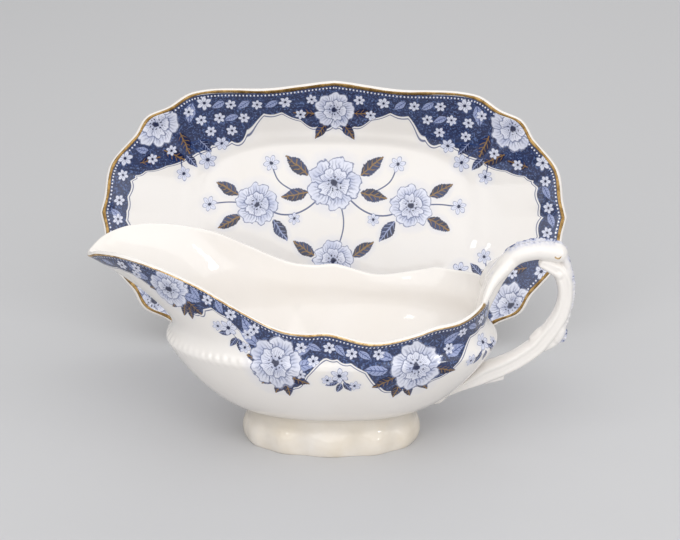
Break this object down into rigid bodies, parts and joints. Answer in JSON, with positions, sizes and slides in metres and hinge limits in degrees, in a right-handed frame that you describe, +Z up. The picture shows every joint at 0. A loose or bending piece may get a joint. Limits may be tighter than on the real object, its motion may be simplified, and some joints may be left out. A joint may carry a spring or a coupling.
{
  "type": "gravy boat with under-tray",
  "caption": "Footed earthenware gravy boat with a long pouring spout and a looped handle, with its loose oblong wavy-edged under-tray stood on edge behind it.",
  "frame": {"origin": "middle of the boat's foot, on the table", "axes": "+Z up, spout along -X, handle along +X, tray on the +Y side"},
  "size_m": [0.233, 0.1951, 0.1259],
  "materials": {
    "bowl_glaze": "glossy ivory glaze over a cobalt print",
    "foot_glaze": "glossy ivory glaze",
    "handle_glaze": "glossy ivory glaze with gilt and blue touches",
    "tray_glaze": "glossy ivory glaze over a cobalt print",
    "gilding": "burnished gilt line"
  },
  "bodies": {
    "tray": {"under_tray": "tray_glaze"},
    "boat": {"bowl": "bowl_glaze", "foot": "foot_glaze", "handle": "handle_glaze"}
  },
  "joints": [
    {"name": "boat_lift", "type": "slide", "parent": "tray", "child": "boat", "axis": [0, 0, 1], "range_m": [0, 0.15]}
  ]
}
